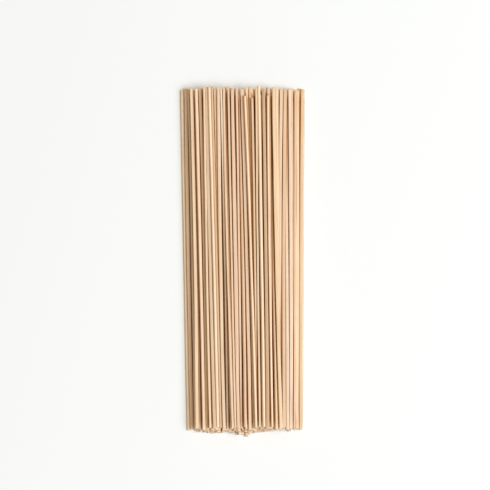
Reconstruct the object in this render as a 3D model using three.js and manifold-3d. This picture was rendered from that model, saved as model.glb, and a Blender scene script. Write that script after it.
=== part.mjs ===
// A loose bundle of dried soba noodles, lying flat on its underside.
//
// The noodles lie along Y. The even end, the head, is at +Y and the foot at -Y; X runs across the
// bundle and Z is up. The origin is under the middle of the bundle, on the surface it lies on.
//
// Every noodle is dropped in turn on the pile and comes to rest on what lies below it. The ones
// that show and the lowest ones are modelled whole, the hidden ones only as the ends that stick
// out, and all of them are rooted in a plain core that follows the pile a little below its top.
import * as THREE from "three";
import { mergeVertices } from "three/addons/utils/BufferGeometryUtils.js";
import Module from "manifold-3d";

const wasm = await Module();
wasm.setup();

// ---- Driving dimensions, in millimetres

// One noodle, cut from a rolled sheet, so its section is a rectangle with blunt edges
const NOODLE_LENGTH = 220;
const NOODLE_BREADTH = 1.95;
const NOODLE_THICKNESS = 1.3;
const NOODLE_EDGE = 0.2; // radius of the blunt edges that the noodles rest on

// The bundle
const NOODLE_COUNT = 160;
const HEAD_WIDTH = 80;
const FOOT_WIDTH = 73.6;
const FOOT_OFFSET = 1.6; // the foot lies this far to the right of the head
const MIDDLE_SLANT = 1.5; // the middle lies this much further right there, and left at the head
const MOUND_HEIGHT = 9; // the noodles are heaped towards this height in the middle
const MOUND_REACH = 0.95; // share of the bundle's width that is heaped: its edges lie flat
const MOUND_FLATNESS = 3; // a higher power keeps the mound level further out
const MOUND_FALL = 0.7; // a lower power makes its flanks steeper
const MIDDLE_SHIFT = 1.6; // the lowest noodles in the middle stick out this much at the foot
const LEFT_LEAN = 0.9; // share by which they stick out more on the left, and less on the right
const TONGUE_SHIFT = 2.2; // a few beside the middle have slid out this much further
const TONGUE_LANE = -0.05;
const TONGUE_REACH = 0.16; // in lanes to either side

// The noodles that lie on the surface along the two edges, as lanes from -1 to 1 across the bundle
const EDGE_LANES = [-1, 1, 0.94, -0.94];

// How uneven the noodles are
const SIZE_SPREAD = 0.05; // share by which a noodle is broader or thicker than the next
const CROSSING_SHARE = 0.25; // share of the noodles that lie a little across the others
const CROSSING_SKEW = 1.7;
const SKEW = 0.6;
const BOW = 0.6; // bend across the bundle
const SAG = 0.2; // bend up or down
const ON_SIDE_SHARE = 0.3; // share of the noodles that stand on their narrow side
const TURNED_SHARE = 0.2; // share of the noodles that are rolled about their length by any angle
const LEAN = 0.12; // angle by which the others lean, in radians
const END_SCATTER = 0.7;
const SHORT_SHARE = 0.14; // share of the noodles that are cut short at the head
const SHORTEST_CUT = 3.5;
const LONGEST_CUT = 6.5;
const LANES_TRIED = 50; // lanes looked at before a noodle is put down
const LEAST_BARE_SHARE = 0.08; // a noodle with more than this share of its top bare is whole

// The core
const CORE_SINK = 0.62; // depth of the core's top under the top of the pile
const CORE_FLOOR = 0.52; // height of the core's flat underside
const CORE_LEAST = 0.25; // least thickness of the core
const CORE_INSET = 6; // the core's ends lie this far inside the noodles' ends
const CORE_COLUMNS = 56;
const CORE_ROWS = 4;
const CORE_CELLS = 3; // cells to either side over which the pile's lowest place counts
const ROOT = 5; // how far a hidden noodle's end reaches into the core

// The solids have sharp edges, and are this much slimmer so that only the core joins neighbours
const SLIM_FIT = 0.9;

// The bundle rests on the noodles along its two edges alone, so that it doesn't rock
const REST_GAP = 0.06; // the others are kept this little off the surface

// ---- Repeatable random numbers

const SEED_RANGE = 2 ** 32;
let seed = 45;

function random() {
  seed = (seed * 1664525 + 1013904223) % SEED_RANGE;
  return seed / SEED_RANGE;
}

const spread = (reach) => reach * (2 * random() - 1);

// ---- Where a noodle runs

// How far along the bundle a place is, from -1 at a noodle's foot to 1 at its head
const reachAt = (y) => (2 * y) / NOODLE_LENGTH;

// The middle line of a lane, from lane -1 at the left edge to lane 1 at the right edge. The lanes
// in the middle slant a little more than the edges.
function laneX(lane, y) {
  const share = (1 + reachAt(y)) / 2;
  const width = FOOT_WIDTH + (HEAD_WIDTH - FOOT_WIDTH) * share - NOODLE_BREADTH;
  const slant = FOOT_OFFSET / 2 + MIDDLE_SLANT * (1 - lane ** 2) ** 2;
  return (lane * width) / 2 - slant * reachAt(y);
}

function noodleX(noodle, y) {
  const reach = reachAt(y);
  return laneX(noodle.lane, y) + noodle.skew * reach + noodle.bow * (reach * reach - 1 / 3);
}

// How far a noodle's sag lifts it above its resting line
const sagAt = (noodle, y) => noodle.sag * (1 - reachAt(y) ** 2);

const noodleZ = (noodle, y) => noodle.height + noodle.slope * y + sagAt(noodle, y);

// ---- The skyline: the height of the pile over a row of cells, at stations along the bundle

const CELL = 0.1;
const HALF_CELLS = 450;
const SECTION_CELLS = 13; // cells from the middle of a section to beyond its side
const PENCIL_STEPS = 8; // places along each side of a section
const STATION_COUNT = 14;
const STATION_REACH = 0.47 * NOODLE_LENGTH;
const stations = Array.from({ length: STATION_COUNT }, (_, index) => {
  return STATION_REACH * ((2 * index) / (STATION_COUNT - 1) - 1);
});
const skyline = stations.map(() => new Float64Array(2 * HALF_CELLS + 1));

const cellAt = (x) => Math.floor(x / CELL + 0.5) + HALF_CELLS;

// The height of a rolled section's upper side over its middle, cell by cell. The section is
// what a round pencil of the edge's radius covers as it runs round a smaller rectangle.
function sectionTop(noodle) {
  const top = new Float64Array(2 * SECTION_CELLS + 1).fill(-Infinity);
  const halfBreadth = noodle.breadth / 2 - NOODLE_EDGE;
  const halfThickness = noodle.thickness / 2 - NOODLE_EDGE;
  const cos = Math.cos(noodle.roll);
  const sin = Math.sin(noodle.roll);
  for (let step = 0; step < PENCIL_STEPS; step++) {
    const along = (2 * step) / PENCIL_STEPS - 1;
    for (const [across, up] of [[along, -1], [1, along], [-along, 1], [-1, -along]]) {
      const x = across * halfBreadth * cos - up * halfThickness * sin;
      const z = across * halfBreadth * sin + up * halfThickness * cos;
      for (let cell = 0; cell < top.length; cell++) {
        const square = NOODLE_EDGE ** 2 - ((cell - SECTION_CELLS) * CELL - x) ** 2;
        if (square >= 0) top[cell] = Math.max(top[cell], z + Math.sqrt(square));
      }
    }
  }
  return top;
}

// The lowest straight line, held up on either side of the middle, that clears these heights
function restingLine(heights) {
  const half = STATION_COUNT / 2;
  let rest = { height: -Infinity, slope: 0 };
  for (let a = 0; a < half; a++) {
    for (let b = half; b < STATION_COUNT; b++) {
      const slope = (heights[b] - heights[a]) / (stations[b] - stations[a]);
      const height = heights[a] - slope * stations[a];
      if (height > rest.height) rest = { height, slope };
    }
  }
  return rest;
}

// The height that the pile is heaped towards in a lane
function mound(lane) {
  const fullness = Math.max(0, 1 - Math.abs(lane / MOUND_REACH) ** MOUND_FLATNESS);
  return MOUND_HEIGHT * fullness ** MOUND_FALL;
}

// A noodle laid in a lane, with its resting line and the room left over it under the mound
function layInLane(noodle, lane) {
  const laid = { ...noodle, lane };
  const heights = stations.map((y, index) => {
    const first = cellAt(noodleX(laid, y)) - SECTION_CELLS;
    let height = -Infinity;
    for (let cell = 0; cell < noodle.top.length; cell++) {
      const underside = -noodle.top[noodle.top.length - 1 - cell];
      height = Math.max(height, skyline[index][first + cell] - underside);
    }
    return height - sagAt(noodle, y);
  });
  const rest = restingLine(heights);
  return { ...laid, ...rest, room: mound(lane) - rest.height };
}

const staysInside = (noodle) => stations.every((y) => {
  return noodleX(noodle, y) >= laneX(-1, y) && noodleX(noodle, y) <= laneX(1, y);
});

// Where a thing's middle lies along the bundle: the lower it is, the nearer to the foot
function endShift(lane, height) {
  const level = Math.min(1, height / (mound(lane) + 2 * NOODLE_THICKNESS));
  const lowest = MIDDLE_SHIFT * (1 - lane ** 2) * (1 - LEFT_LEAN * lane);
  const tongue = TONGUE_SHIFT * Math.max(0, 1 - ((lane - TONGUE_LANE) / TONGUE_REACH) ** 4);
  return -(lowest + tongue) * (1 - level);
}

function makeNoodle(onEdge) {
  const crossing = random() < CROSSING_SHARE;
  const way = random();
  const onSide = way < ON_SIDE_SHARE;
  const turned = way > 1 - TURNED_SHARE;
  const short = random() < SHORT_SHARE;
  const noodle = {
    breadth: NOODLE_BREADTH * (1 + spread(SIZE_SPREAD)),
    thickness: NOODLE_THICKNESS * (1 + spread(SIZE_SPREAD)),
    roll: (onSide ? Math.PI / 2 : 0) + spread(turned ? Math.PI / 2 : LEAN),
    skew: spread(crossing ? CROSSING_SKEW : SKEW),
    bow: spread(BOW),
    sag: spread(SAG),
    cut: spread(END_SCATTER) + (short ? SHORTEST_CUT + (LONGEST_CUT - SHORTEST_CUT) * random() : 0),
    slip: spread(END_SCATTER),
  };
  if (onEdge) Object.assign(noodle, { roll: 0, skew: 0, bow: 0, sag: 0 });
  return { ...noodle, top: sectionTop(noodle) };
}

function dropNoodle(index) {
  const onEdge = index < EDGE_LANES.length;
  const noodle = makeNoodle(onEdge);
  let best = null;
  for (let attempt = 0; attempt < LANES_TRIED; attempt++) {
    const lane = onEdge ? EDGE_LANES[index] : spread(1);
    if (!onEdge && !staysInside({ ...noodle, lane })) continue;
    const laid = layInLane(noodle, lane);
    if (best === null || laid.room > best.room) best = laid;
  }
  stations.forEach((y, station) => {
    const first = cellAt(noodleX(best, y)) - SECTION_CELLS;
    best.top.forEach((height, cell) => {
      const reached = noodleZ(best, y) + height;
      skyline[station][first + cell] = Math.max(skyline[station][first + cell], reached);
    });
  });
  const middle = endShift(best.lane, best.height) + best.slip;
  const foot = middle - NOODLE_LENGTH / 2;
  const head = middle + NOODLE_LENGTH / 2 - best.cut;
  return { ...best, foot, head };
}

const noodles = Array.from({ length: NOODLE_COUNT }, (_, index) => dropNoodle(index));

// ---- Which noodles show

// The share of a noodle's upper side that nothing lies on
function bareShare(noodle) {
  const probes = [-6, 0, 6]; // cells from its middle line
  let bare = 0;
  stations.forEach((y, station) => {
    for (const probe of probes) {
      const own = noodleZ(noodle, y) + noodle.top[SECTION_CELLS + probe];
      if (skyline[station][cellAt(noodleX(noodle, y)) + probe] < own + CELL / 2) bare += 1;
    }
  });
  return bare / (STATION_COUNT * probes.length);
}

const isOnTop = (noodle) => bareShare(noodle) > LEAST_BARE_SHARE;
const isLowest = (noodle) => noodle.height < NOODLE_THICKNESS;

// ---- Solids

const SAME_POINT = 1e-6; // corners nearer than this are one

function solidOf(geometry) {
  geometry.deleteAttribute("normal");
  geometry.deleteAttribute("uv");
  const closed = mergeVertices(geometry, SAME_POINT);
  const mesh = new wasm.Mesh({
    numProp: 3,
    vertProperties: new Float32Array(closed.attributes.position.array),
    triVerts: new Uint32Array(closed.index.array),
  });
  return new wasm.Manifold(mesh);
}

const carriesBundle = (noodle) => Math.abs(noodle.lane) === 1;

function sectionShape(noodle) {
  const fit = carriesBundle(noodle) ? 1 : SLIM_FIT;
  const x = (fit * noodle.breadth) / 2;
  const z = (fit * noodle.thickness) / 2;
  const middle = new THREE.Vector2();
  return new THREE.Shape([[x, z], [-x, z], [-x, -z], [x, -z]].map(([px, pz]) => {
    return new THREE.Vector2(px, pz).rotateAround(middle, noodle.roll);
  }));
}

// The stretch of a noodle between two places along the bundle, bent to its path
function noodleSolid(noodle, foot, head, steps) {
  const settings = { depth: 1, steps, bevelEnabled: false };
  const geometry = new THREE.ExtrudeGeometry(sectionShape(noodle), settings);
  const position = geometry.attributes.position;
  const lowest = carriesBundle(noodle) ? 0 : REST_GAP;
  for (let i = 0; i < position.count; i++) {
    const y = head + (foot - head) * position.getZ(i);
    const x = noodleX(noodle, y) + position.getX(i);
    const z = noodleZ(noodle, y) + position.getY(i);
    position.setXYZ(i, x, y, Math.max(z, lowest));
  }
  return solidOf(geometry);
}

// The lowest point of the skyline near a lane, between the two stations on either side of y
function pileTop(lane, y) {
  const place = ((y / STATION_REACH + 1) / 2) * (STATION_COUNT - 1);
  const before = Math.min(STATION_COUNT - 2, Math.floor(place));
  const [low, high] = [before, before + 1].map((station) => {
    const cell = cellAt(laneX(lane, stations[station]));
    return Math.min(...skyline[station].subarray(cell - CORE_CELLS, cell + CORE_CELLS + 1));
  });
  return low + (high - low) * (place - before);
}

// A block whose upper side follows the pile, and whose ends lean like the noodles' ends
function coreSolid() {
  const geometry = new THREE.BoxGeometry(2, 2, 1, CORE_COLUMNS, CORE_ROWS, 1);
  const position = geometry.attributes.position;
  const reach = NOODLE_LENGTH / 2 - CORE_INSET;
  const pileHeight = MOUND_HEIGHT + 2 * NOODLE_THICKNESS;
  for (let i = 0; i < position.count; i++) {
    const lane = position.getX(i);
    const top = pileTop(lane, position.getY(i) * STATION_REACH) - CORE_SINK;
    const z = position.getZ(i) > 0 ? Math.max(top, CORE_FLOOR + CORE_LEAST) : CORE_FLOOR;
    const y = position.getY(i) * reach - MIDDLE_SHIFT * (1 - z / pileHeight);
    position.setXYZ(i, laneX(lane, y), y, z);
  }
  return solidOf(geometry);
}

const pieces = [coreSolid()];
for (const noodle of noodles) {
  const { foot, head } = noodle;
  if (isOnTop(noodle)) {
    pieces.push(noodleSolid(noodle, foot, head, 2));
  } else if (isLowest(noodle)) {
    pieces.push(noodleSolid(noodle, foot, head, 1));
  } else {
    pieces.push(noodleSolid(noodle, foot, foot + CORE_INSET + ROOT, 1));
    pieces.push(noodleSolid(noodle, head - CORE_INSET - ROOT, head, 1));
  }
}

// The largest body alone, so hollows that the join seals are filled and loose scraps dropped
const bodies = wasm.Manifold.union(pieces).decompose();
const bundle = bodies.reduce((largest, body) => (body.volume() > largest.volume() ? body : largest));
const { vertProperties, triVerts } = bundle.getMesh();

const geometry = new THREE.BufferGeometry();
geometry.setAttribute("position", new THREE.BufferAttribute(vertProperties, 3));
geometry.setIndex(new THREE.BufferAttribute(triVerts, 1));
geometry.computeBoundingBox();
const { min, max } = geometry.boundingBox;
geometry.translate(-(min.x + max.x) / 2, -(min.y + max.y) / 2, -min.z);

const driedDough = new THREE.MeshStandardMaterial({ color: 0xd8b38a, roughness: 0.85, metalness: 0 });
const noodleBundle = new THREE.Mesh(geometry, driedDough);
noodleBundle.name = "noodle_bundle";

const soba = new THREE.Group();
soba.add(noodleBundle);

export default soba;
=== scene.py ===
# %% [markdown]
# # A loose bundle of dried soba noodles
#
# Dried soba is dough of buckwheat and wheat flour, rolled into a sheet, cut into strips and hung
# up to dry. A handful of it has been put down on a pale surface and has settled into a low mound
# of parallel sticks. At one end, the head, they are flush; at the other, the foot, they stick out
# unevenly. This lesson piles up the noodles, one by one, sweeps a section along each, and gives
# them the matte, speckled look of buckwheat.

import bpy
import numpy as np
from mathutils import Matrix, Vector


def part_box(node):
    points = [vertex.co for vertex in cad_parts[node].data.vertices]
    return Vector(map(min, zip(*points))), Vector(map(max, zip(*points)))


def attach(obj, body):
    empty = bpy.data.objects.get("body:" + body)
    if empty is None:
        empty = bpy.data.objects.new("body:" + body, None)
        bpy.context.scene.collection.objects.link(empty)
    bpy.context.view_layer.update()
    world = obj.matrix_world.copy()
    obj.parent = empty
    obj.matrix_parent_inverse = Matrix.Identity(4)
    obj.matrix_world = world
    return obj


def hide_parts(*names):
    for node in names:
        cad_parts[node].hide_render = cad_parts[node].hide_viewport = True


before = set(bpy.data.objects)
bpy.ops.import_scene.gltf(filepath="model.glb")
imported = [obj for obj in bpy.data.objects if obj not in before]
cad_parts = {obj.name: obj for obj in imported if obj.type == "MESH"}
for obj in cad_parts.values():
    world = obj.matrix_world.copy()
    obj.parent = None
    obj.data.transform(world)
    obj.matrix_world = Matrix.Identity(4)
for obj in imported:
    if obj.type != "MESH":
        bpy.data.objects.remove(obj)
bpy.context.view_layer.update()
low_corner, high_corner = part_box("noodle_bundle")
print("the plain model has", len(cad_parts), "node")
print("it lies from", list(low_corner), "to", list(high_corner))

# %% [markdown]
# ## The sizes
#
# All sizes are in millimetres here, and become metres when a mesh is made. One noodle has a
# section like a rectangle with blunt edges, because it is a strip cut from a rolled sheet. The
# bundle is a little broader at its head than at its foot. Everything else follows from these
# few numbers, so a change to one of them gives a bundle of another shape.

# %% Sizes of a noodle and of the bundle
MM = 0.001

NOODLE_LENGTH = 220
NOODLE_BREADTH = 1.95
NOODLE_THICKNESS = 1.3
NOODLE_EDGE = 0.2  # radius of the blunt edges

NOODLE_COUNT = 160
HEAD_WIDTH = 80
FOOT_WIDTH = 73.6
FOOT_OFFSET = 1.6  # the foot lies this far to the right of the head
MIDDLE_SLANT = 1.5  # the middle lies this much further right at the foot, and left at the head
MOUND_HEIGHT = 9  # the noodles are heaped towards this height in the middle
MOUND_REACH = 0.95  # share of the bundle's width that is heaped: its edges lie flat
MOUND_FLATNESS = 3  # a higher power keeps the mound level further out
MOUND_FALL = 0.7  # a lower power makes its flanks steeper
MIDDLE_SHIFT = 1.6  # the lowest noodles in the middle stick out this much at the foot
LEFT_LEAN = 0.9  # share by which they stick out more on the left, and less on the right
TONGUE_SHIFT = 2.2  # a few beside the middle have slid out this much further
TONGUE_LANE = -0.05
TONGUE_REACH = 0.16  # in lanes to either side
EDGE_LANES = (-1, 1, 0.94, -0.94)  # the noodles that lie on the surface along the two edges

SIZE_SPREAD = 0.05  # share by which a noodle is broader or thicker than the next
CROSSING_SHARE = 0.25  # share of the noodles that lie a little across the others
CROSSING_SKEW = 1.7
SKEW = 0.6
BOW = 0.6  # bend across the bundle
SAG = 0.2  # bend up or down
ON_SIDE_SHARE = 0.3  # share of the noodles that stand on their narrow side
TURNED_SHARE = 0.2  # share of the noodles that are rolled about their length by any angle
LEAN = 0.12  # angle by which the others lean, in radians
END_SCATTER = 0.7
SHORT_SHARE = 0.14  # share of the noodles that are cut short at the head
SHORTEST_CUT = 3.5
LONGEST_CUT = 6.5
LANES_TRIED = 50  # lanes looked at before a noodle is put down

# %% [markdown]
# ## Chance that repeats
#
# No two noodles are alike, but every run has to give the same bundle. A short rule makes each
# number from the one before it, so the same start always gives the same row of numbers, here
# and in any other language. It decides how each noodle of the pile is shaped and where it falls.

# %% Repeatable random numbers
SEED_RANGE = 2**32
FIRST_SEED = 45  # another number piles up another bundle


class Chance:
    """A row of numbers between 0 and 1, each worked out from the one before it."""

    def __init__(self, seed):
        self.seed = seed

    def draw(self):
        """The seed times a large number plus another, less as many whole ranges as it holds."""
        self.seed = (self.seed * 1664525 + 1013904223) % SEED_RANGE
        return self.seed / SEED_RANGE

    def spread(self, reach):
        """A number between -reach and reach."""
        return reach * (2 * self.draw() - 1)


chance = Chance(FIRST_SEED)

# %% [markdown]
# ## Where a noodle runs
#
# A noodle lies in a lane, from -1 at the bundle's left edge to 1 at its right edge. All lanes
# draw together a little towards the foot. From its lane a noodle may be skewed, bowed sideways
# and bent up or down, each by less than its own breadth. These are plain formulas of the place y
# along the bundle, and they work as well on a whole array of places.

# %% The path of a noodle
def reach_at(y):
    """How far along the bundle a place is: -1 at a noodle's foot and 1 at its head."""
    return 2 * y / NOODLE_LENGTH


def lane_x(lane, y):
    """The middle line of a lane: lane times half the width there, which grows evenly to the head.

    The lanes in the middle slant a little more than the edges.
    """
    share = (1 + reach_at(y)) / 2
    width = FOOT_WIDTH + (HEAD_WIDTH - FOOT_WIDTH) * share - NOODLE_BREADTH
    slant = FOOT_OFFSET / 2 + MIDDLE_SLANT * (1 - lane**2) ** 2
    return lane * width / 2 - slant * reach_at(y)


def noodle_x(noodle, lane, y):
    """The lane's middle line, plus skew times reach, plus bow times (reach squared - 1/3).

    The third is the square's mean, so a bow bends the noodle and doesn't move it sideways.
    """
    reach = reach_at(y)
    return lane_x(lane, y) + noodle["skew"] * reach + noodle["bow"] * (reach**2 - 1 / 3)


def sag_at(noodle, y):
    """How far a noodle's sag lifts it above its resting line: nothing at its ends."""
    return noodle["sag"] * (1 - reach_at(y) ** 2)


def make_noodle(on_edge):
    """The size and bends of one noodle. The ones along the bundle's edges lie straight and flat."""
    crossing = chance.draw() < CROSSING_SHARE
    way = chance.draw()
    on_side = way < ON_SIDE_SHARE
    turned = way > 1 - TURNED_SHARE
    short = chance.draw() < SHORT_SHARE
    noodle = {
        "breadth": NOODLE_BREADTH * (1 + chance.spread(SIZE_SPREAD)),
        "thickness": NOODLE_THICKNESS * (1 + chance.spread(SIZE_SPREAD)),
        "roll": (np.pi / 2 if on_side else 0) + chance.spread(np.pi / 2 if turned else LEAN),
        "skew": chance.spread(CROSSING_SKEW if crossing else SKEW),
        "bow": chance.spread(BOW),
        "sag": chance.spread(SAG),
        "cut": chance.spread(END_SCATTER),
    }
    if short:
        noodle["cut"] += SHORTEST_CUT + (LONGEST_CUT - SHORTEST_CUT) * chance.draw()
    noodle["slip"] = chance.spread(END_SCATTER)
    if on_edge:
        noodle.update(roll=0, skew=0, bow=0, sag=0)
    return noodle


# %% [markdown]
# ## Dropping the noodles on a pile
#
# Gravity could be left to a physics engine, but 160 long thin sticks take it very long to
# settle. It is quicker to remember only the pile's skyline: its height over a row of fine cells,
# at stations along the bundle. A noodle is held over 50 lanes in turn. In each, the lowest
# straight line that clears the skyline at every station is the one on which it would come to
# rest. It goes where the most room is left under a mound, and raises the skyline there.

# %% The skyline and the section that meets it
CELL = 0.1  # breadth of one cell of the skyline
HALF_CELLS = 450  # cells to either side of the middle, which reach past the bundle's edges
SECTION_CELLS = 13  # cells from the middle of a section to beyond its side
PENCIL_STEPS = 8  # places along each side of a section
STATION_COUNT = 14
STATION_REACH = 0.47 * NOODLE_LENGTH  # the outermost stations lie this far from the middle

stations = STATION_REACH * (2 * np.arange(STATION_COUNT) / (STATION_COUNT - 1) - 1)
skyline = np.zeros((STATION_COUNT, 2 * HALF_CELLS + 1))
section_cells = np.arange(-SECTION_CELLS, SECTION_CELLS + 1)


def cell_at(x):
    """The number of the cell round a place: x / CELL to the nearest whole, from the left end."""
    return np.floor(x / CELL + 0.5).astype(int) + HALF_CELLS


def section_top(noodle):
    """The height of a rolled section's upper side over its middle, cell by cell.

    A round pencil of the edge's radius runs round a smaller rectangle. At each place it covers
    sqrt(radius^2 - distance^2) above its middle, and the highest of these counts.
    """
    half_breadth = noodle["breadth"] / 2 - NOODLE_EDGE
    half_thickness = noodle["thickness"] / 2 - NOODLE_EDGE
    along = 2 * np.arange(PENCIL_STEPS) / PENCIL_STEPS - 1
    one = np.ones(PENCIL_STEPS)
    across = half_breadth * np.concatenate([along, one, -along, -one])
    up = half_thickness * np.concatenate([-one, along, one, -along])
    cos, sin = np.cos(noodle["roll"]), np.sin(noodle["roll"])
    x = across * cos - up * sin
    z = across * sin + up * cos
    square = NOODLE_EDGE**2 - (section_cells[:, None] * CELL - x) ** 2
    covered = np.where(square >= 0, z + np.sqrt(np.maximum(square, 0)), -np.inf)
    return covered.max(axis=1)


# %% Finding the lane where a noodle comes to rest
first_of_pair, second_of_pair = np.meshgrid(
    np.arange(STATION_COUNT // 2), np.arange(STATION_COUNT // 2, STATION_COUNT), indexing="ij"
)
first_of_pair, second_of_pair = first_of_pair.ravel(), second_of_pair.ravel()


def resting_lines(heights):
    """For each row of heights, the lowest straight line that clears them.

    It is held up at one station on either side of the middle, so of the lines through all such
    pairs it is the one that stands highest in the middle.
    """
    far = heights[:, second_of_pair] - heights[:, first_of_pair]
    slopes = far / (stations[second_of_pair] - stations[first_of_pair])
    middles = heights[:, first_of_pair] - slopes * stations[first_of_pair]
    held = middles.argmax(axis=1)
    rows = np.arange(len(heights))
    return middles[rows, held], slopes[rows, held]


def mound(lane):
    """The height that the pile is heaped towards in a lane."""
    fullness = np.maximum(0, 1 - np.abs(lane / MOUND_REACH) ** MOUND_FLATNESS)
    return MOUND_HEIGHT * fullness**MOUND_FALL


def drop_noodle(index):
    """Makes a noodle, tries all its lanes at once, and lays it where the most room is left."""
    on_edge = index < len(EDGE_LANES)
    noodle = make_noodle(on_edge)
    lanes = [EDGE_LANES[index]] if on_edge else [chance.spread(1) for _ in range(LANES_TRIED)]
    lanes = np.array(lanes, dtype=float)[:, None]
    xs = noodle_x(noodle, lanes, stations)
    if not on_edge:
        inside = (xs >= lane_x(-1, stations)) & (xs <= lane_x(1, stations))
        lanes, xs = lanes[inside.all(axis=1)], xs[inside.all(axis=1)]

    top = section_top(noodle)
    underside = -top[::-1]
    cells = cell_at(xs)[:, :, None] + section_cells
    below = skyline[np.arange(STATION_COUNT)[:, None], cells]
    heights = (below - underside).max(axis=2) - sag_at(noodle, stations)
    middles, slopes = resting_lines(heights)
    best = (mound(lanes[:, 0]) - middles).argmax()
    noodle.update(lane=lanes[best, 0], height=middles[best], slope=slopes[best])

    path = noodle["height"] + noodle["slope"] * stations + sag_at(noodle, stations)
    rows = np.arange(STATION_COUNT)[:, None]
    raised = np.maximum(skyline[rows, cells[best]], path[:, None] + top)
    skyline[rows, cells[best]] = raised
    return noodle


# %% [markdown]
# Where the ends lie is the last thing that a noodle needs. The lower it lies in the pile, the
# nearer it is to the foot, so the foot slopes down in steps like a flight of stairs, while the
# top layer hides that at the head. A few noodles broke off short there.

# %% Piling them up
def end_shift(lane, height):
    """How far a noodle is moved along the bundle: the lowest the most, towards the foot.

    The shift of the lowest, with the tongue's where there is one, fades evenly with the height
    and is nothing at the top of the mound.
    """
    level = min(1, height / (mound(lane) + 2 * NOODLE_THICKNESS))
    lowest = MIDDLE_SHIFT * (1 - lane**2) * (1 - LEFT_LEAN * lane)
    tongue = TONGUE_SHIFT * max(0, 1 - ((lane - TONGUE_LANE) / TONGUE_REACH) ** 4)
    return -(lowest + tongue) * (1 - level)


pile = [drop_noodle(index) for index in range(NOODLE_COUNT)]
for noodle in pile:
    middle = end_shift(noodle["lane"], noodle["height"]) + noodle["slip"]
    noodle["foot"] = middle - NOODLE_LENGTH / 2
    noodle["head"] = middle + NOODLE_LENGTH / 2 - noodle["cut"]

highest = max(noodle["height"] for noodle in pile)
print("piled up", len(pile), "noodles, the highest at", round(highest, 1), "mm")

# %% Which of them show from above
LEAST_BARE_SHARE = 0.08  # a noodle with more than this share of its top bare shows
PROBES = np.array([-6, 0, 6])  # cells from a noodle's middle line


def bare_share(noodle):
    """The share of a noodle's upper side that nothing lies on."""
    path = noodle["height"] + noodle["slope"] * stations + sag_at(noodle, stations)
    own = path[:, None] + section_top(noodle)[SECTION_CELLS + PROBES]
    cells = cell_at(noodle_x(noodle, noodle["lane"], stations))[:, None] + PROBES
    return np.mean(skyline[np.arange(STATION_COUNT)[:, None], cells] < own + CELL / 2)


upper = [noodle for noodle in pile if bare_share(noodle) > LEAST_BARE_SHARE]
lower = [noodle for noodle in pile if bare_share(noodle) <= LEAST_BARE_SHARE]
print(len(upper), "noodles show from above and", len(lower), "lie under them")

# %% [markdown]
# ## Sweeping the sections
#
# A noodle's surface is a grid: one direction runs round the section and the other along the
# noodle. All the noodles of a piece are worked out at once, as an array of noodle by ring by
# point of the ring. Real strips aren't as true as a formula, so each also twists and swells a
# little along its length, and its cut ends are neither square nor smooth.

# %% A ring of points round one section
ARC_ANGLES = (0, 30, 60, 90)
QUARTER = 90
DECIMALS = 9  # kept of a cosine, so that a right angle's is nothing at all


def section_ring():
    """Points round a section, as where the pencil's middle is and which way it points.

    Each quarter turn has one point in the middle of a side and an arc round the next corner.
    The pencil's middle is given in half breadths and half thicknesses of the smaller rectangle.
    """
    turn = np.repeat(np.arange(4) * QUARTER, len(ARC_ANGLES) + 1)
    angle = np.radians(turn + np.tile((0,) + ARC_ANGLES, 4))
    on_side = np.tile((True,) + (False,) * len(ARC_ANGLES), 4)
    side = np.radians(turn)
    corner = np.radians(turn + QUARTER / 2)
    core_x = np.where(on_side, np.cos(side), np.sign(np.cos(corner)))
    core_z = np.where(on_side, np.sin(side), np.sign(np.sin(corner)))
    core_x, core_z = np.round(core_x, DECIMALS), np.round(core_z, DECIMALS)
    return core_x, core_z, np.cos(angle), np.sin(angle), on_side


RING_CORE_X, RING_CORE_Z, RING_COS, RING_SIN, RING_ON_SIDE = section_ring()
RING_SIZE = len(RING_COS)
print("a ring has", RING_SIZE, "points")

# %% Slow waves along a noodle
LONGEST_WAVE = 190
SHORTEST_WAVE = 45
WAVE_COUNT = 5


def slow_waves(rng, places):
    """A smooth random curve for each noodle, between about -1 and 1, at the places along it.

    It is the mean of a few sine waves whose lengths and starting points are drawn at random,
    times half the square root of their number, since a mean of many is flatter than each.
    """
    count = places.shape[0]
    length = rng.uniform(SHORTEST_WAVE, LONGEST_WAVE, (count, 1, WAVE_COUNT))
    start = rng.uniform(0, 2 * np.pi, (count, 1, WAVE_COUNT))
    waves = np.sin(2 * np.pi * places[:, :, None] / length + start)
    return waves.mean(axis=2) * np.sqrt(WAVE_COUNT) / 2


# %% The grids of many noodles at once
END_SCALES = (0.3, 0.65, 0.9)  # sizes of the rings across a cut end, the smallest first
END_INSET = 0.12  # the blunt rim of a cut end
END_TILT = 0.16  # how far from square an end is cut, as a slope
END_ROUGHNESS = 0.07
TWIST = np.radians(5)  # to either side of the roll with which it lies in the pile
WANDER = 0.07  # how far it strays sideways from its path
SWELL = 0.025  # share by which it is broader and thinner here, and the reverse there
HOLLOW = 0.03  # how far the sides have dried in
MARGIN = 1.5  # the stretch at an end that follows its cut


def gather(noodles, key):
    """One property of all the noodles, as an array with room for rings and ring points."""
    return np.array([noodle[key] for noodle in noodles], dtype=float)[:, None]


def ring_places(foot, head, ring_count):
    """Where the rings lie along each noodle, and how large each is.

    They are spread evenly from end to end, with a few more at either end that turn in over the
    blunt rim and across the cut face.
    """
    spread = np.linspace(0, 1, ring_count)
    inner = (foot + END_INSET) + (head - foot - 2 * END_INSET) * spread
    at_foot, at_head = [foot] * len(END_SCALES), [head] * len(END_SCALES)
    places = np.concatenate([*at_foot, inner, *at_head], axis=1)
    scale = np.concatenate([END_SCALES, np.ones(ring_count), END_SCALES[::-1]])
    return places, scale


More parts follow.
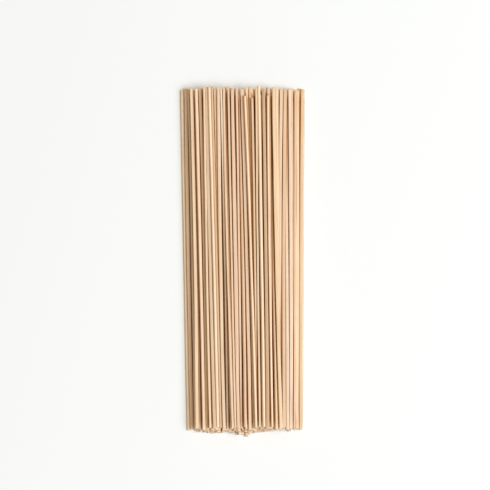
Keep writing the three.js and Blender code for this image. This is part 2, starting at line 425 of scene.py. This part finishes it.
def noodle_grids(noodles, ring_count, seed):
    """Points of every noodle, in an array of noodle, ring, ring point and x, y, z.

    A ring is the blunt rectangle, scaled, turned by the noodle's roll and set on its path.
    """
    rng = np.random.default_rng(seed)
    foot, head = gather(noodles, "foot"), gather(noodles, "head")
    places, scale = ring_places(foot, head, ring_count)
    count = len(noodles)

    swell = 1 + SWELL * slow_waves(rng, places)[:, :, None]
    half_breadth = swell * gather(noodles, "breadth")[:, :, None] / 2
    half_thickness = (2 - swell) * gather(noodles, "thickness")[:, :, None] / 2
    hollow = HOLLOW * RING_ON_SIDE
    across = (half_breadth - NOODLE_EDGE) * RING_CORE_X + (NOODLE_EDGE - hollow) * RING_COS
    up = (half_thickness - NOODLE_EDGE) * RING_CORE_Z + (NOODLE_EDGE - hollow) * RING_SIN
    across *= scale[:, None]
    up *= scale[:, None]

    roll = gather(noodles, "roll") + TWIST * slow_waves(rng, places)
    cos, sin = np.cos(roll)[:, :, None], np.sin(roll)[:, :, None]
    right, above = across * cos - up * sin, across * sin + up * cos

    lane = gather(noodles, "lane")
    bends = {key: gather(noodles, key) for key in ("skew", "bow", "sag")}
    path_x = noodle_x(bends, lane, places) + WANDER * slow_waves(rng, places)
    path_z = gather(noodles, "height") + gather(noodles, "slope") * places + sag_at(bends, places)

    tilt = rng.normal(0, END_TILT, (count, 2, 2, 1, 1))
    at_foot = np.clip(1 - (places - foot) / MARGIN, 0, 1)[:, :, None]
    at_head = np.clip(1 - (head - places) / MARGIN, 0, 1)[:, :, None]
    lean_foot = tilt[:, 0, 0] * across + tilt[:, 0, 1] * up
    lean_head = tilt[:, 1, 0] * across + tilt[:, 1, 1] * up
    rough = END_ROUGHNESS * rng.uniform(-1, 1, (count, len(scale), RING_SIZE))
    rough *= (scale < 1)[:, None]
    along = places[:, :, None] + at_foot * lean_foot + at_head * lean_head + rough

    return np.stack([path_x[:, :, None] + right, along, path_z[:, :, None] + above], axis=3)


# %% [markdown]
# ## From arrays to a mesh
#
# Blender takes long rows of numbers much faster than single points, so the corners of all the
# faces are worked out as arrays too. The rings of a noodle are joined by quads. At its ends, the
# last ring is closed by a ladder of quads from one side of the ring to the other, so the whole
# surface is closed and made of quads alone.

# %% Faces of the grids
def ladder(ring):
    """Quads that close a ring: rung i joins points i and size - 1 - i to the next pair."""
    rungs = np.arange(RING_SIZE // 2 - 1)
    far = RING_SIZE - 1 - rungs
    return ring[np.stack([rungs, rungs + 1, far - 1, far], axis=1)]


def grid_faces(noodle_count, rings):
    """Corner numbers of every quad, each noodle's after the last one's."""
    points = np.arange(rings * RING_SIZE).reshape(rings, RING_SIZE)
    after = np.roll(points, -1, axis=1)
    walls = np.stack([points[:-1], points[1:], after[1:], after[:-1]], axis=2).reshape(-1, 4)
    caps = np.concatenate([ladder(points[0]), ladder(points[-1])[:, ::-1]])
    one = np.concatenate([walls, caps])
    start = np.arange(noodle_count)[:, None, None] * rings * RING_SIZE
    return (one + start).reshape(-1, 4)


def make_mesh(name, points, faces):
    """A smooth-shaded mesh object from an array of points in metres and one of quads."""
    mesh = bpy.data.meshes.new(name)
    mesh.vertices.add(len(points))
    mesh.vertices.foreach_set("co", points.astype(np.float32).ravel())
    mesh.loops.add(faces.size)
    mesh.loops.foreach_set("vertex_index", faces.astype(np.int32).ravel())
    mesh.polygons.add(len(faces))
    mesh.polygons.foreach_set("loop_start", np.arange(0, faces.size, 4, dtype=np.int32))
    mesh.update(calc_edges=True)
    mesh.validate()
    mesh.shade_smooth()
    made = bpy.data.objects.new(name, mesh)
    bpy.context.collection.objects.link(made)
    return made


# %% [markdown]
# The textures of the dough have to follow each noodle and differ from one to the next. So each
# point keeps a few things for the material: its place within its own noodle, with a random
# stretch added along it; a tone and a hue for the whole noodle; how near it is to a cut end; and
# how much of the sky it sees between its neighbours, which sets how deep the painted shade is.

# %% What the material needs to know
GRAIN_RANGE = 4000  # the most that is added along a noodle, so no two share their pattern
CUT_DEPTH = 0.25  # how far the pale floury look of a cut end reaches
END_DEPTH = 6  # the last stretch of a noodle sees more and more of the sky past the pile's end
HORIZON_CELLS = range(1, 40, 2)  # cells to either side that may hide the sky from a point
EVEN_RINGS = 4  # rings to either side over which a point's share of the sky is evened out


def skyline_at(cells, before, share):
    """The pile's height at a cell, the given share of the way from one station to the next."""
    cells = np.clip(cells, 0, skyline.shape[1] - 1)
    return skyline[before, cells] * (1 - share) + skyline[before + 1, cells] * share


def open_sky(x, y, z):
    """The share of the sky that a point sees across the bundle.

    On either side, the horizon's angle is the steepest of arctan(height / distance) of what
    stands there above the point. What is left of the half turn between the horizons is open.
    """
    place = np.clip((y / STATION_REACH + 1) / 2, 0, 1) * (STATION_COUNT - 1)
    before = np.minimum(place.astype(int), STATION_COUNT - 2)
    cells = cell_at(x)
    hidden = np.zeros_like(x)
    for side in (-1, 1):
        horizon = np.zeros_like(x)
        for step in HORIZON_CELLS:
            height = skyline_at(cells + side * step, before, place - before) - z
            horizon = np.maximum(horizon, np.arctan2(height, step * CELL))
        hidden += horizon
    return 1 - hidden / np.pi


def even_out(values):
    """Each ring's values, averaged with those of the rings to either side along the noodle.

    The skyline is made of cells, so the raw values jump where a noodle passes from one to the
    next. Past an end, the last ring's values are taken again.
    """
    padded = np.pad(values, ((0, 0), (EVEN_RINGS, EVEN_RINGS), (0, 0)), mode="edge")
    shifted = [padded[:, start:start + values.shape[1]] for start in range(2 * EVEN_RINGS + 1)]
    return np.mean(shifted, axis=0)


def add_values(made, name, values):
    """Stores one number, or one vector, for each point of a mesh."""
    kind, field = ("FLOAT", "value") if values.ndim == 1 else ("FLOAT_VECTOR", "vector")
    attribute = made.data.attributes.new(name, kind, "POINT")
    attribute.data.foreach_set(field, values.astype(np.float32).ravel())


def noodle_piece(name, noodles, ring_count, seed):
    """One mesh of many noodles, placed over the plain model, with its values for the material."""
    grids = noodle_grids(noodles, ring_count, seed)
    count, rings = grids.shape[:2]
    rng = np.random.default_rng(seed + 1)
    middle = grids.mean(axis=2, keepdims=True)
    grain = grids - middle
    grain[..., 1] = grids[..., 1] + rng.uniform(0, GRAIN_RANGE, (count, 1, 1))
    tone = np.broadcast_to(rng.normal(0, 1, (count, 1, 1)), grids.shape[:3])
    hue = np.broadcast_to(rng.normal(0, 1, (count, 1, 1)), grids.shape[:3])
    open_share = even_out(open_sky(grids[..., 0], grids[..., 1], grids[..., 2]))
    foot = gather(noodles, "foot")[:, :, None]
    head = gather(noodles, "head")[:, :, None]
    nearest = np.minimum(grids[..., 1] - foot, head - grids[..., 1])
    cut = np.clip(1 - nearest / CUT_DEPTH, 0, 1)
    open_share = np.maximum(open_share, 1 - nearest / END_DEPTH)

    made = make_mesh(name, (grids + pile_shift).reshape(-1, 3) * MM, grid_faces(count, rings))
    add_values(made, "grain", grain.reshape(-1, 3))
    add_values(made, "tone", tone.ravel())
    add_values(made, "hue", hue.ravel())
    add_values(made, "cut", cut.ravel())
    add_values(made, "open_sky", open_share.ravel())
    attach(made, "root")
    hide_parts("noodle_bundle")
    print(name, "has", count, "noodles and", 2 * len(made.data.polygons), "triangles")
    return made


# %% [markdown]
# The pile's own middle is wherever the noodles happened to fall. So the whole pile is moved over
# the middle of the plain model's box, on the same surface. The noodles that show get short steps
# along them, so their bends are smooth from close by. The hidden ones get longer steps, which
# keeps the meshes light.

# %% Placing the pile over the plain model
OUTLINE_RINGS = 24

outline = noodle_grids(pile, OUTLINE_RINGS, seed=0).reshape(-1, 3)
pile_middle = (outline.min(axis=0) + outline.max(axis=0)) / 2
plain_middle = (np.array(low_corner) + np.array(high_corner)) / 2 / MM
pile_shift = plain_middle - pile_middle
pile_shift[2] = low_corner[2] / MM
print("the pile is moved by", pile_shift, "mm")

# %% The noodles
UPPER_RINGS = 66
LOWER_RINGS = 32

upper_noodles = noodle_piece("upper_noodles", upper, UPPER_RINGS, seed=1)
lower_noodles = noodle_piece("lower_noodles", lower, LOWER_RINGS, seed=3)

# %% [markdown]
# ## Writing a material as sums
#
# A material is a small program of nodes. Drawn by hand it soon is a tangle, so here it is
# written as sums: a Socket stands for a node's output, and adding or multiplying two of them
# puts in the Math node that does it. Colours are mixed by Mix nodes, because a Math node would
# turn them grey.

# %% Sockets that can be added up
class Socket:
    """One output of a node. Its operators add the Math nodes that work them out."""

    def __init__(self, finish, output):
        self.finish = finish
        self.output = output

    def maths(self, operation, first, second):
        inputs = {"Value": first, "Value_001": second}
        return self.finish.node("ShaderNodeMath", {"operation": operation}, inputs)

    def __add__(self, other):
        return self.maths("ADD", self, other)

    def __sub__(self, other):
        return self.maths("SUBTRACT", self, other)

    def __rsub__(self, other):
        return self.maths("SUBTRACT", other, self)

    def __mul__(self, other):
        return self.maths("MULTIPLY", self, other)

    __radd__ = __add__
    __rmul__ = __mul__


class Finish:
    """A material being made: its nodes, and the shader that they feed."""

    def __init__(self, name):
        self.material = bpy.data.materials.new(name)
        self.material.use_nodes = True
        self.tree = self.material.node_tree
        self.shader = self.tree.nodes["Principled BSDF"]

    def node(self, kind, settings=None, inputs=None, output=0):
        """Adds a node: first its settings, then the values or links of its sockets."""
        made = self.tree.nodes.new(kind)
        for name, value in (settings or {}).items():
            setattr(made, name, value)
        for name, value in (inputs or {}).items():
            self.feed(made, name, value)
        return Socket(self, made.outputs[output])

    def feed(self, node, name, value):
        """Sets or links the input with that identifier."""
        socket = next(entry for entry in node.inputs if entry.identifier == name)
        if isinstance(value, Socket):
            self.tree.links.new(value.output, socket)
        else:
            socket.default_value = value

    def mix(self, share, first, second, blend="MIX"):
        """The first colour where share is 0 and the second where it is 1."""
        settings = {"data_type": "RGBA", "blend_type": blend}
        inputs = {"Factor_Float": share, "A_Color": first, "B_Color": second}
        return self.node("ShaderNodeMix", settings, inputs, output=2)

    def smooth(self, value, low, high):
        """0 where value is under low and 1 where it is over high, with a soft step between."""
        inputs = {"Value": value, "From Min": low, "From Max": high}
        return self.node("ShaderNodeMapRange", {"interpolation_type": "SMOOTHSTEP"}, inputs)


# %% [markdown]
# ## Buckwheat dough
#
# The dough is a warm tan. Buckwheat is milled with some of its dark hull, so fine specks of
# brown show everywhere, and thin streaks run along the noodle, where the rollers and cutters
# drew the dough out. The surface is matte, a little rough to the touch, and where a noodle is
# cut or broken it is paler and floury. Some noodles dried paler than others, and some a little
# yellower or pinker. Down between them, where a point sees little sky, the colour is painted
# darker and browner. This painted shade stands in for the light that goes from noodle to noodle
# and partly through them, and grows browner each time.

# %% Colours of the dough
def colour(red, green, blue):
    """A colour given as a screen shows it, from 0 to 255, as Blender counts it: as light.

    Near black the light is the screen's value divided by 12.92, and above that nearly its
    2.4th power.
    """
    screen = np.array([red, green, blue]) / 255
    light = np.where(screen <= 0.04045, screen / 12.92, ((screen + 0.055) / 1.055) ** 2.4)
    return (*light.tolist(), 1.0)


PALE_DOUGH = colour(246, 226, 202)
TAN_DOUGH = colour(222, 190, 155)
STREAK = colour(176, 130, 88)
HULL = colour(104, 70, 44)
FLOUR = colour(240, 216, 184)

# Tints, which the dough's colour is multiplied with: white would leave it as it is
YELLOWISH = colour(255, 250, 239)
PINKISH = colour(255, 247, 246)
# A painted shade, multiplied in darker and browner down in the gaps where little sky is seen
PAINTED_SHADE = colour(222, 178, 100)

# %% Patches, layers and relief of the dough
# Patches: their breadth across a noodle and their length along it, in millimetres
STREAK_PATCH = (0.45, 18)
MOTTLE_PATCH = (0.9, 2.5)
DRIFT_PATCH = (30, 45)
FINE_PATCH = (0.16, 0.22)
SPECK_PATCH = (0.5, 0.7)

# Layers: the value from which one shows, the value from which it shows in full, and the share of
# the dough that it then covers
MOTTLE_LAYER = (0.45, 0.8, 0.25)
STREAK_LAYER = (0.5, 0.85, 0.45)
SPECK_LAYER = (0, 0.12, 0.6)
FLOUR_LAYER = (0.2, 0.9, 0.55)

TONE_WEIGHT = 0.5  # how much the tone of a whole noodle counts
DRIFT_WEIGHT = 1.2  # how much the slow drift within it counts
TAN_RANGE = (-0.6, 1.8)  # sums of both, from pale to tan
HUE_RANGE = (-2.5, 2.5)  # hues, from yellowish to pinkish
# From no painted shade to the full painted shade, by the share of the sky that is hidden
PAINTED_SHADE_RANGE = (0.45, 0.85)  # shares of the sky that are hidden, from not tinted to deepest

SPECK_SPREAD = 0.9  # a patch's random number times this, less the next, is its speck's radius
SPECK_BARE = 0.6  # it is below 0 in two patches out of three, so they have no speck

RELIEF_HEIGHT = 0.08
RELIEF_STRENGTH = 0.6
STREAK_RELIEF = 0.5
MOTTLE_RELIEF = 0.3
FINE_RELIEF = 0.35

ROUGHNESS = 0.62
FINE_ROUGHNESS = 0.16
SPECULAR = 0.35

# %% The material
def dried_dough():
    """The dough's colour from pale to tan by noodle, with mottling, streaks, specks and flour.

    Last, a painted shade makes it darker and browner by the share of the sky that is hidden.
    """
    finish = Finish("dried_dough")
    grain = finish.node("ShaderNodeAttribute", {"attribute_name": "grain"}, output=1)
    tone, hue, cut, open_share = (
        finish.node("ShaderNodeAttribute", {"attribute_name": name}, output=2)
        for name in ("tone", "hue", "cut", "open_sky")
    )

    def stretched(patch):
        """The place in the noodle, counted in patches."""
        breadth, length = patch
        inputs = {"Vector": grain, "Scale": (1 / breadth, 1 / length, 1 / breadth)}
        return finish.node("ShaderNodeMapping", {}, inputs)

    def noise(patch, detail):
        """Soft random values around a half, which change from patch to patch."""
        inputs = {"Vector": stretched(patch), "Scale": 1.0, "Detail": detail}
        return finish.node("ShaderNodeTexNoise", {}, inputs)

    def lay(under, value, layer, paint):
        """Lays a colour over what is under it, where the value is high enough."""
        low, high, most = layer
        return finish.mix(finish.smooth(value, low, high) * most, under, paint)

    streaks = noise(STREAK_PATCH, detail=2.0)
    mottling = noise(MOTTLE_PATCH, detail=3.0)
    drift = noise(DRIFT_PATCH, detail=1.0)
    fine = noise(FINE_PATCH, detail=2.0)

    speck_cells = {"Vector": stretched(SPECK_PATCH), "Scale": 1.0}
    distance = finish.node("ShaderNodeTexVoronoi", {}, speck_cells, output="Distance")
    cell = finish.node("ShaderNodeTexVoronoi", {}, speck_cells, output="Color")
    drawn = finish.node("ShaderNodeSeparateColor", {}, {"Color": cell}, output=0)
    speck = drawn * SPECK_SPREAD - SPECK_BARE - distance

    tan_share = finish.smooth(tone * TONE_WEIGHT + drift * DRIFT_WEIGHT, *TAN_RANGE)
    dough = finish.mix(tan_share, PALE_DOUGH, TAN_DOUGH)
    tint = finish.mix(finish.smooth(hue, *HUE_RANGE), YELLOWISH, PINKISH)
    dough = finish.mix(1.0, dough, tint, "MULTIPLY")
    dough = lay(dough, mottling, MOTTLE_LAYER, TAN_DOUGH)
    dough = lay(dough, streaks, STREAK_LAYER, STREAK)
    dough = lay(dough, speck, SPECK_LAYER, HULL)
    dough = lay(dough, cut, FLOUR_LAYER, FLOUR)
    # Painted shade: darker and browner where the point sees little sky
    dough = finish.mix(finish.smooth(1 - open_share, *PAINTED_SHADE_RANGE), dough, PAINTED_SHADE, "MULTIPLY")

    relief = streaks * STREAK_RELIEF + mottling * MOTTLE_RELIEF + fine * FINE_RELIEF
    inputs = {"Strength": RELIEF_STRENGTH, "Distance": RELIEF_HEIGHT * MM, "Height": relief}
    normal = finish.node("ShaderNodeBump", {}, inputs)

    finish.feed(finish.shader, "Base Color", dough)
    finish.feed(finish.shader, "Roughness", ROUGHNESS + fine * FINE_ROUGHNESS)
    finish.feed(finish.shader, "Normal", normal)
    finish.feed(finish.shader, "Specular IOR Level", SPECULAR)
    return finish.material


dough = dried_dough()
for piece in (upper_noodles, lower_noodles):
    piece.data.materials.append(dough)
print("the dough is made of", len(dough.node_tree.nodes), "nodes")

# %% [markdown]
# ## The surface, the light and the camera
#
# The bundle lies on a plain, nearly white surface. Broad daylight comes from the right and a
# little from the foot, low enough that each noodle is bright on its right and shaded on its
# left. The surroundings light the shaded sides and are a little warmer than the daylight, so the
# gaps between the noodles are brown and not black. The camera looks down from the foot's side,
# from far off with a long lens, so the noodles stay parallel in the picture.

# %% The surface
FLOOR_SIZE = 8.0
FLOOR_COLOUR = colour(243, 244, 244)
FLOOR_ROUGHNESS = 0.9
FLOOR_SPECULAR = 0.2


def pale_floor():
    """A broad flat square under the bundle. It is the stage, and no piece of the part."""
    bpy.ops.mesh.primitive_plane_add(size=FLOOR_SIZE)
    floor = bpy.context.object
    floor.name = "floor"
    finish = Finish("pale_floor")
    finish.feed(finish.shader, "Base Color", FLOOR_COLOUR)
    finish.feed(finish.shader, "Roughness", FLOOR_ROUGHNESS)
    finish.feed(finish.shader, "Specular IOR Level", FLOOR_SPECULAR)
    floor.data.materials.append(finish.material)


pale_floor()

# %% The light
LIGHT_DISTANCE = 4.0
LIGHT_SIZE = 2.6  # broad, as a window is, so the bundle's shadow has a soft edge
LIGHT_AZIMUTH = -15  # degrees from the right towards the head, so this is towards the foot
LIGHT_ELEVATION = 48
LIGHT_WATTS = 168
LIGHT_COLOUR = (0.885, 0.925, 1.0)
SKY_STRENGTH = 0.45
SKY_COLOUR = colour(255, 248, 227)


def face(thing, place, target):
    """Puts a thing at a place, turned to face the target."""
    thing.location = place
    thing.rotation_euler = (Vector(target) - Vector(place)).to_track_quat("-Z", "Y").to_euler()


def daylight():
    """A round lamp that faces the bundle.

    With its elevation e and its azimuth a, it stands at the distance times
    (cos e cos a, cos e sin a, sin e).
    """
    lamp = bpy.data.lights.new("daylight", "AREA")
    lamp.shape = "DISK"
    lamp.size = LIGHT_SIZE
    lamp.energy = LIGHT_WATTS
    lamp.color = LIGHT_COLOUR
    made = bpy.data.objects.new("daylight", lamp)
    bpy.context.collection.objects.link(made)
    azimuth, elevation = np.radians(LIGHT_AZIMUTH), np.radians(LIGHT_ELEVATION)
    direction = np.array([
        np.cos(elevation) * np.cos(azimuth),
        np.cos(elevation) * np.sin(azimuth),
        np.sin(elevation),
    ])
    face(made, tuple(LIGHT_DISTANCE * direction), (0, 0, 0))


def surroundings():
    """The same soft light from every side."""
    world = bpy.data.worlds.new("surroundings")
    world.use_nodes = True
    background = world.node_tree.nodes["Background"]
    background.inputs["Color"].default_value = SKY_COLOUR
    background.inputs["Strength"].default_value = SKY_STRENGTH
    bpy.context.scene.world = world


daylight()
surroundings()
bpy.context.scene.view_settings.view_transform = "Standard"
print("the daylight comes from", LIGHT_ELEVATION, "degrees up")

# %% The camera
CAMERA_TILT = 10  # degrees from straight down, towards the foot
CAMERA_DISTANCE = 3.0
SENSOR = 36
PICTURE_WIDTH = 0.3127  # metres that the picture takes in where the bundle lies
AIM = (0.0013, 0.0099, 0.006)


def camera():
    """A camera at the distance from its aim, leaning back towards the foot by the tilt.

    Its lens is as long as the sensor's width times the distance / the picture's width.
    """
    lens = bpy.data.cameras.new("camera")
    lens.sensor_width = SENSOR
    lens.lens = SENSOR * CAMERA_DISTANCE / PICTURE_WIDTH
    made = bpy.data.objects.new("camera", lens)
    bpy.context.collection.objects.link(made)
    tilt = np.radians(CAMERA_TILT)
    away = CAMERA_DISTANCE * np.array([0, -np.sin(tilt), np.cos(tilt)])
    made.location = tuple(np.array(AIM) + away)
    made.rotation_euler = (tilt, 0, 0)
    bpy.context.scene.camera = made


camera()
print("the lens is", round(bpy.context.scene.camera.data.lens), "mm long")
